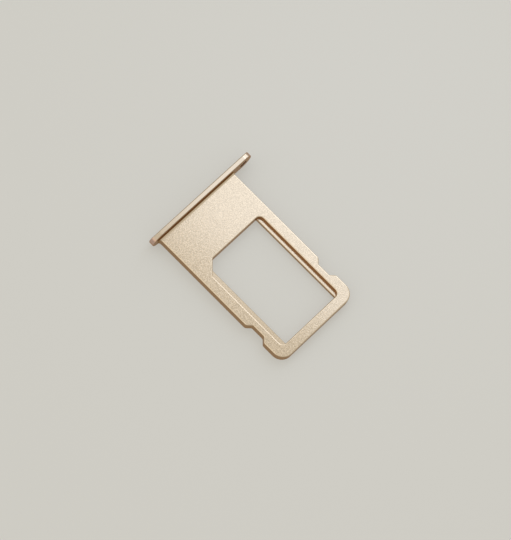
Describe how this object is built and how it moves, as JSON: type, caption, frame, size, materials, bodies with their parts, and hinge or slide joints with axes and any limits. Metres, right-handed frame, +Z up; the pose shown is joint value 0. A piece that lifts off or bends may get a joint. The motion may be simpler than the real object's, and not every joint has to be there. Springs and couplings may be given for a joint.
{
  "type": "sim card tray",
  "caption": "Slim metal tray that carries a nano SIM card: a crowned head with an eject hole, and a flat plate with a stepped card pocket, open window, cut corner and latch notches.",
  "frame": {"origin": "middle of the tray's box in X and Y, level with the lowest line of the head", "axes": "+Y is the way the tray slides in, +X is right as seen from in front of the head, +Z is up, out of the card pocket"},
  "size_m": [0.0154, 0.02, 0.0025],
  "materials": {
    "anodised_aluminium": "fine bead-blasted, anodised in a pale champagne gold, with smoother head and edges"
  },
  "bodies": {
    "root": {"sim_card_tray": "anodised_aluminium"}
  },
  "joints": []
}
